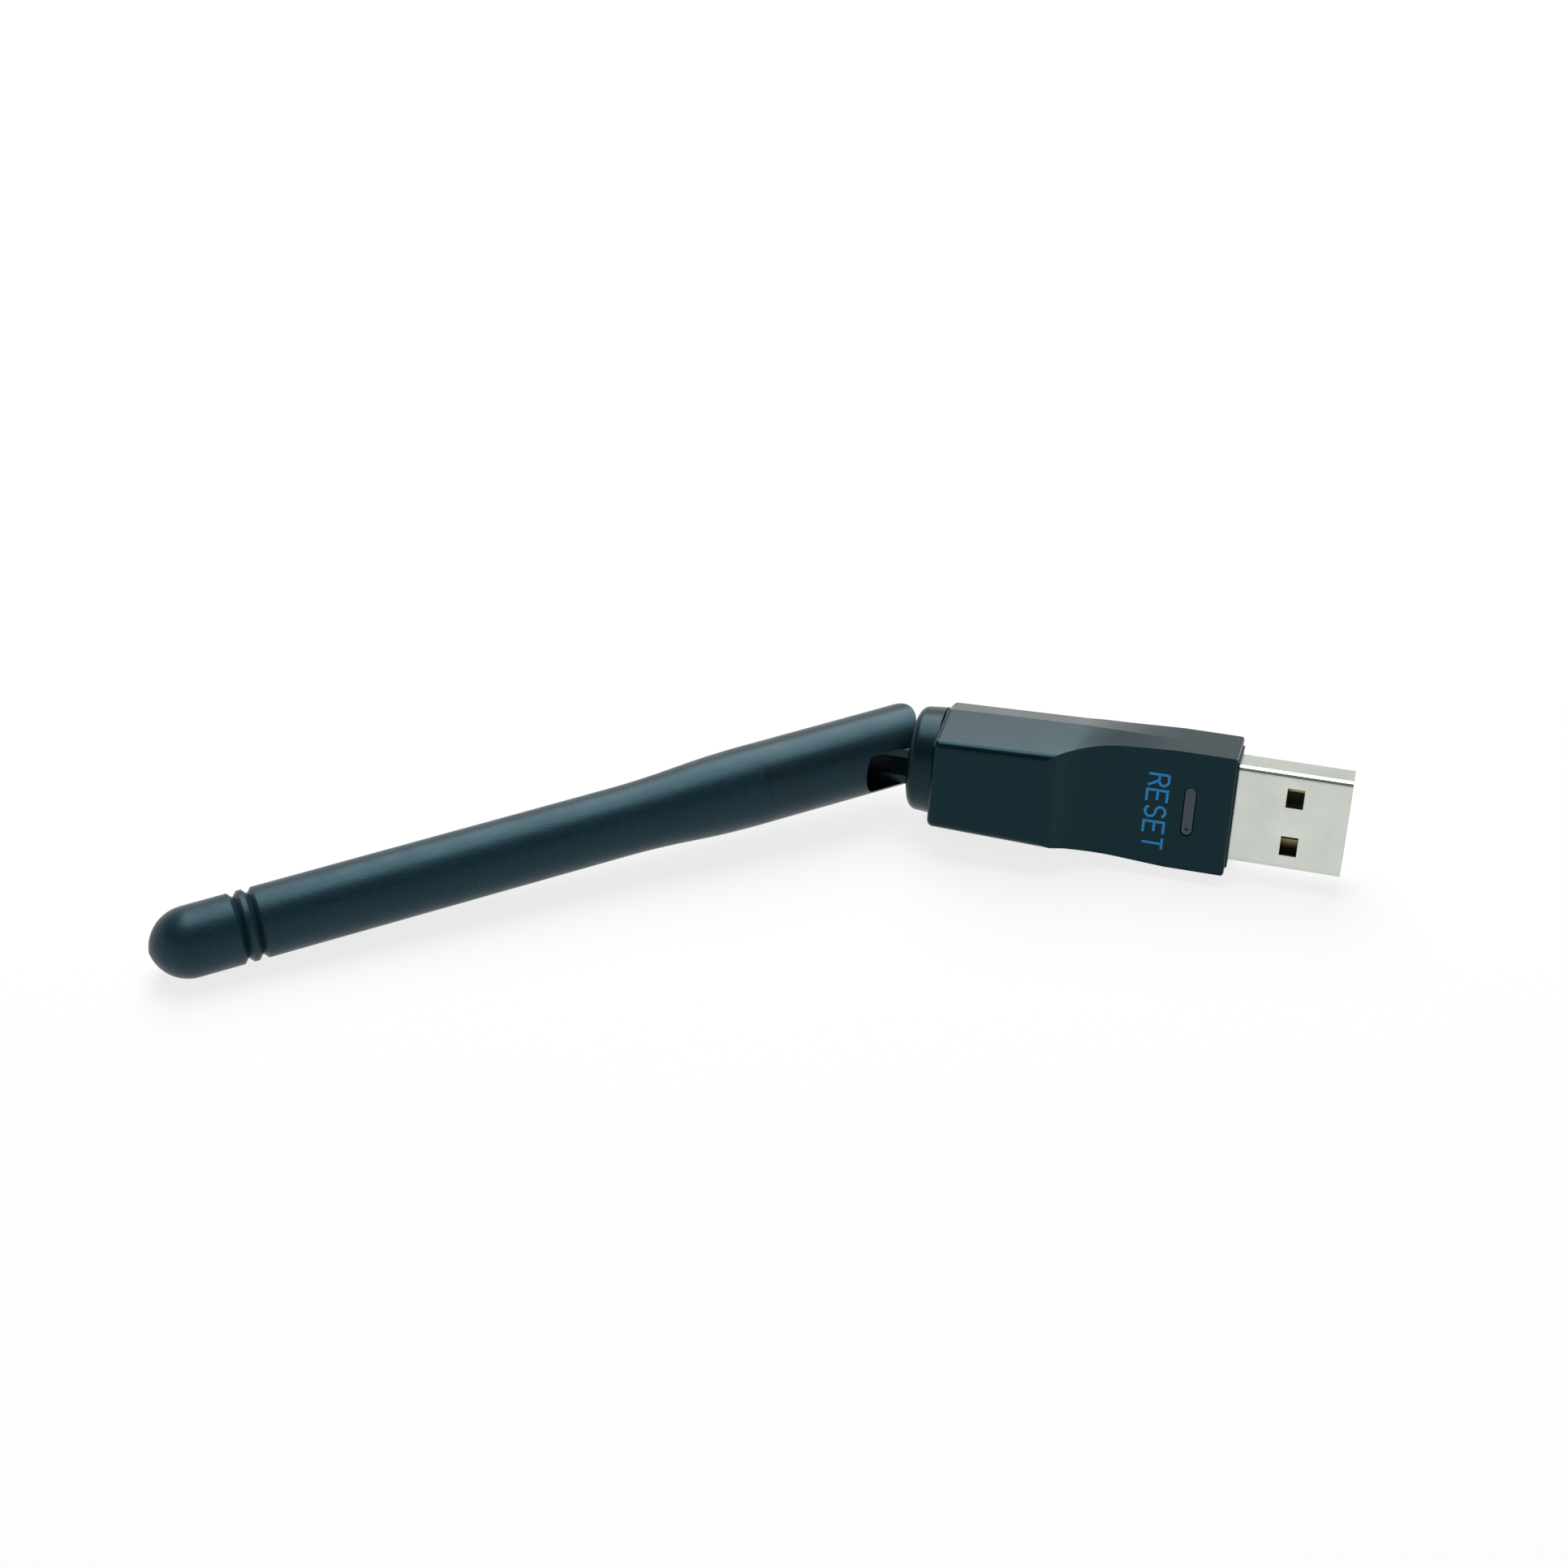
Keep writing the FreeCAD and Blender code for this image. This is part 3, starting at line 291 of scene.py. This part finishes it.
moulded_plastic("capacitor_ceramic", (0.32, 0.2, 0.11), roughness=0.5, grain=0.1 * MM,
                relief=0.002 * MM, gloss=0.4)
moulded_plastic("lamp_resin", (0.75, 0.75, 0.62), roughness=0.25, grain=0.2 * MM,
                relief=0.001 * MM, gloss=0.5)
moulded_plastic("switch_plastic", (0.03, 0.03, 0.03), roughness=0.5, grain=0.15 * MM,
                relief=0.003 * MM, gloss=0.4)
moulded_plastic("lead_jacket", (0.012, 0.014, 0.016), roughness=0.4, grain=0.2 * MM,
                relief=0.003 * MM, gloss=0.4)
plated_metal("choke_brass", (0.72, 0.52, 0.22), roughness=0.3, grain=0.2 * MM,
             relief=0.001 * MM, stretch=(6, 1, 1))
moulded_plastic("bead_plastic", (0.75, 0.75, 0.7), roughness=0.45, grain=0.2 * MM,
                relief=0.002 * MM, gloss=0.4)

# Each node has the finish of its slot, except that the collar is darker than the fork
finish_of_node = {row["node"]: row["material_slot"] for row in record["subparts"]}
finish_of_node["swivel_knuckle"] = "collar_plastic"
for node_name, node in nodes.items():
    node.data.materials.clear()
    node.data.materials.append(materials[finish_of_node[node_name]])


def add_piece(name, vertices, faces, material, body=None):
    """Mesh piece in the row frame, which rides on a body where one is given."""
    mesh = bpy.data.meshes.new(name)
    mesh.from_pydata(vertices, [], faces)
    mesh.materials.append(material)
    piece = bpy.data.objects.new(name, mesh)
    bpy.context.scene.collection.objects.link(piece)
    if body is not None:
        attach(piece, body)
    return piece


# Printed word, in letters of its own single strokes

FACET_HEIGHT = 3.7 * MM
INK_THICKNESS = 0.02 * MM
CAP_HEIGHT = 2.35 * MM
LETTER_WIDTH = 1.42 * MM
LETTER_STEP = 1.98 * MM
STROKE = 0.30 * MM
WORD_BASE_BACK = 9.85 * MM
WORD_START_SIDE = 4.1 * MM
ARC_STEPS = 8
SAME_POINT = STROKE / 100
MITRE_LIMIT = 0.5
CORNERS_AT_POINT = 4


def arc(centre_x, centre_y, radius_x, radius_y, start, stop):
    """Points along part of an ellipse, by angles in degrees."""
    points = []
    for step in range(ARC_STEPS + 1):
        angle = math.radians(start + (stop - start) * step / ARC_STEPS)
        points.append((centre_x + radius_x * math.cos(angle), centre_y + radius_y * math.sin(angle)))
    return points


# Strokes on a letter field one unit wide and one unit high, from the base line up
LETTERS = {
    "R": [
        [(0, 0), (0, 1)],
        [(0, 1), (0.55, 1)] + arc(0.55, 0.765, 0.40, 0.235, 90, -90) + [(0, 0.53)],
        [(0.50, 0.53), (1, 0)],
    ],
    "E": [[(1, 0), (0, 0), (0, 1), (1, 1)], [(0, 0.52), (0.85, 0.52)]],
    "S": [
        arc(0.5, 0.755, 0.44, 0.245, 20, 180) + arc(0.5, 0.755, 0.44, 0.245, 180, 250)[1:]
        + arc(0.5, 0.255, 0.46, 0.255, 70, 0) + arc(0.5, 0.255, 0.46, 0.255, 0, -160)[1:],
    ],
    "T": [[(0, 1), (1, 1)], [(0.5, 1), (0.5, 0)]],
}


def ribbon(points, half_width):
    """Left and right edge points of a stroke with mitred corners."""
    left, right = [], []
    for index, point in enumerate(points):
        before = points[index] - points[index - 1] if index > 0 else None
        after = points[index + 1] - points[index] if index + 1 < len(points) else None
        directions = [d.normalized() for d in (before, after) if d is not None and d.length > 0]
        middle = sum(directions, Vector((0, 0))).normalized()
        normal = Vector((-middle.y, middle.x))
        reach = half_width / max(normal.dot(Vector((-directions[0].y, directions[0].x))), MITRE_LIMIT)
        left.append(point + normal * reach)
        right.append(point - normal * reach)
    return left, right


def printed_word():
    """All strokes of the word as low raised ribbons on the facet."""
    vertices, faces = [], []
    for place, letter in enumerate("RESET"):
        for stroke in LETTERS[letter]:
            points = []
            for x, y in stroke:
                point = Vector((x * LETTER_WIDTH + place * LETTER_STEP, y * CAP_HEIGHT))
                if not points or (point - points[-1]).length > SAME_POINT:
                    points.append(point)
            left, right = ribbon(points, STROKE / 2)
            first = len(vertices)
            for a, b in zip(left, right):
                for point in (a, b):
                    for height in (0, INK_THICKNESS):
                        vertices.append(in_frame(-WORD_BASE_BACK + point.y, WORD_START_SIDE - point.x,
                                                 FACET_HEIGHT + height))
            count = len(points)
            for index in range(count - 1):
                a = first + index * CORNERS_AT_POINT
                b = a + CORNERS_AT_POINT
                faces += [(a + 1, b + 1, b + 3, a + 3), (a, b, b + 1, a + 1), (a + 2, a + 3, b + 3, b + 2),
                          (a, a + 2, b + 2, b)]
            last = first + (count - 1) * CORNERS_AT_POINT
            faces += [(first, first + 1, first + 3, first + 2), (last, last + 2, last + 3, last + 1)]
    return add_piece("reset_word", vertices, faces, printed_ink("word_ink", INK_COLOUR), "housing")


printed_word()


# Antenna lead, which bends where the antenna folds

LEAD_RADIUS = 0.565 * MM
LEAD_BEND = 4.5 * MM
LEAD_SIDES = 20
LEAD_ON_BOARD = 0.315 * MM
LEAD_START = 18.6 * MM
SLOPE_START = 23.4 * MM
SLOPE_END = 28.4 * MM
LEAD_SPLIT = 29.4 * MM
FEED_END = 50.2 * MM
BEND_STEPS = 24

axis_level = (fold_point - origin).dot(outward)


def rounded_path(corners, radius):
    """Straight runs through the corners, joined by tangent arcs."""
    path = [corners[0]]
    for before, corner, after in zip(corners, corners[1:], corners[2:]):
        back = (before - corner).normalized()
        onward = (after - corner).normalized()
        half_turn = (math.pi - back.angle(onward)) / 2
        start = corner + back * radius * math.tan(half_turn)
        centre = corner + (back + onward).normalized() * (radius / math.cos(half_turn))
        spoke = start - centre
        turn_axis = (-back).cross(onward).normalized()
        for step in range(BEND_STEPS + 1):
            turn = Matrix.Rotation(2 * half_turn * step / BEND_STEPS, 3, turn_axis)
            path.append(centre + turn @ spoke)
    path.append(corners[-1])
    return path


def tube(name, path, radius, material):
    """Round tube along a path, closed at both ends."""
    vertices, faces = [], []
    side = None
    for index, point in enumerate(path):
        ahead = path[min(index + 1, len(path) - 1)] - path[max(index - 1, 0)]
        ahead.normalize()
        side = ahead.orthogonal() if side is None else side - ahead * side.dot(ahead)
        side.normalize()
        other = ahead.cross(side)
        for step in range(LEAD_SIDES):
            angle = 2 * math.pi * step / LEAD_SIDES
            vertices.append(point + (side * math.cos(angle) + other * math.sin(angle)) * radius)
    for ring in range(len(path) - 1):
        for step in range(LEAD_SIDES):
            a = ring * LEAD_SIDES + step
            b = ring * LEAD_SIDES + (step + 1) % LEAD_SIDES
            faces.append((a, b, b + LEAD_SIDES, a + LEAD_SIDES))
    faces.append(tuple(reversed(range(LEAD_SIDES))))
    last = (len(path) - 1) * LEAD_SIDES
    faces.append(tuple(range(last, last + LEAD_SIDES)))
    piece = add_piece(name, vertices, faces, material)
    piece.data.polygons.foreach_set("use_smooth", [True] * len(faces))
    return piece


def antenna_lead():
    """The lead in two pieces: its end on the board, and the stretch that goes round the fold."""
    on_board = [
        in_frame(-LEAD_START, 0, LEAD_ON_BOARD), in_frame(-SLOPE_START, 0, LEAD_ON_BOARD),
        in_frame(-SLOPE_END, 0, axis_level), in_frame(-LEAD_SPLIT, 0, axis_level),
    ]
    jacket = materials["lead_jacket"]
    board_end = tube("lead_on_board", rounded_path(on_board, LEAD_BEND), LEAD_RADIUS, jacket)
    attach(board_end, "housing")
    round_fold = [in_frame(-LEAD_SPLIT, 0, axis_level), fold_point, fold_point + rod * FEED_END]
    folding = tube("lead_round_fold", rounded_path(round_fold, LEAD_BEND), LEAD_RADIUS, jacket)
    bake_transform(folding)
    for piece in (board_end, folding):
        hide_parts("antenna_lead")


antenna_lead()


# Floor, light and background

FLOOR_SIDE = 6.0
STAGE_GLOW = 0.8
BACKDROP_RADIUS = 2.5
BACKDROP_HEIGHT = 1.3
BACKDROP_SIDES = 64
STAGE_WHITE = (0.92, 0.92, 0.92, 1)
WORLD_FILL = 0.16
LAMP_PLACE = (-0.09, 0.31, 0.6)
LAMP_WIDTH = 0.5
LAMP_DEPTH = 0.8
LAMP_RADIANCE = 5.2


def white_to_eye(tree):
    """1 for a ray from the camera or off gloss or through glass, and 0 for other light."""
    rays = tree.nodes.new("ShaderNodeLightPath")
    seen = rays.outputs["Is Camera Ray"]
    for name in ("Is Glossy Ray", "Is Transmission Ray"):
        either = tree.nodes.new("ShaderNodeMath")
        either.operation = "MAXIMUM"
        tree.links.new(seen, either.inputs[0])
        tree.links.new(rays.outputs[name], either.inputs[1])
        seen = either.outputs[0]
    return seen


def stage_material():
    """White floor that keeps a soft shadow under a white background."""
    m = Nodes("stage_white")
    diffuse = m.add("ShaderNodeBsdfDiffuse", Color=STAGE_WHITE)
    glow = m.add("ShaderNodeEmission", Color=(1, 1, 1, 1), Strength=1.0)
    share = m.calculated("MULTIPLY", white_to_eye(m.tree), STAGE_GLOW)
    mix = m.add("ShaderNodeMixShader")
    m.put(mix.inputs[0], share)
    m.put(mix.inputs[1], diffuse.outputs[0])
    m.put(mix.inputs[2], glow.outputs[0])
    m.put(m.output.inputs["Surface"], mix.outputs[0])
    return m.material


def studio():
    """Large plain floor that the dongle rests on, and a plain round backdrop at its rim."""
    white = stage_material()
    half = FLOOR_SIDE / 2
    corners = [(-half, -half, 0), (half, -half, 0), (half, half, 0), (-half, half, 0)]
    add_piece("floor", corners, [(0, 1, 2, 3)], white)
    rim = []
    for side in range(BACKDROP_SIDES):
        angle = 2 * math.pi * side / BACKDROP_SIDES
        place = (BACKDROP_RADIUS * math.cos(angle), BACKDROP_RADIUS * math.sin(angle))
        rim += [(*place, 0), (*place, BACKDROP_HEIGHT)]
    count = len(rim)
    panels = [(i, (i + 2) % count, (i + 3) % count, i + 1) for i in range(0, count, 2)]
    add_piece("backdrop", rim, panels, white)


def area_lamp(name, place, width, depth, radiance):
    """Soft rectangular lamp that faces the dongle, set by its brightness."""
    data = bpy.data.lights.new(name, "AREA")
    data.shape = "RECTANGLE"
    data.size = width
    data.size_y = depth
    data.energy = radiance * math.pi * width * depth
    lamp = bpy.data.objects.new(name, data)
    lamp.location = place
    lamp.rotation_mode = "QUATERNION"
    lamp.rotation_quaternion = (-Vector(place)).to_track_quat("-Z", "Y")
    bpy.context.scene.collection.objects.link(lamp)


def surroundings():
    """Plain even world that gives a soft fill from above the backdrop."""
    world = bpy.data.worlds.new("studio")
    world.use_nodes = True
    background = world.node_tree.nodes["Background"]
    background.inputs["Color"].default_value = (1, 1, 1, 1)
    background.inputs["Strength"].default_value = WORLD_FILL
    bpy.context.scene.world = world


studio()
surroundings()
area_lamp("lamp_above", LAMP_PLACE, LAMP_WIDTH, LAMP_DEPTH, LAMP_RADIANCE)

bpy.context.scene.view_settings.view_transform = "Standard"
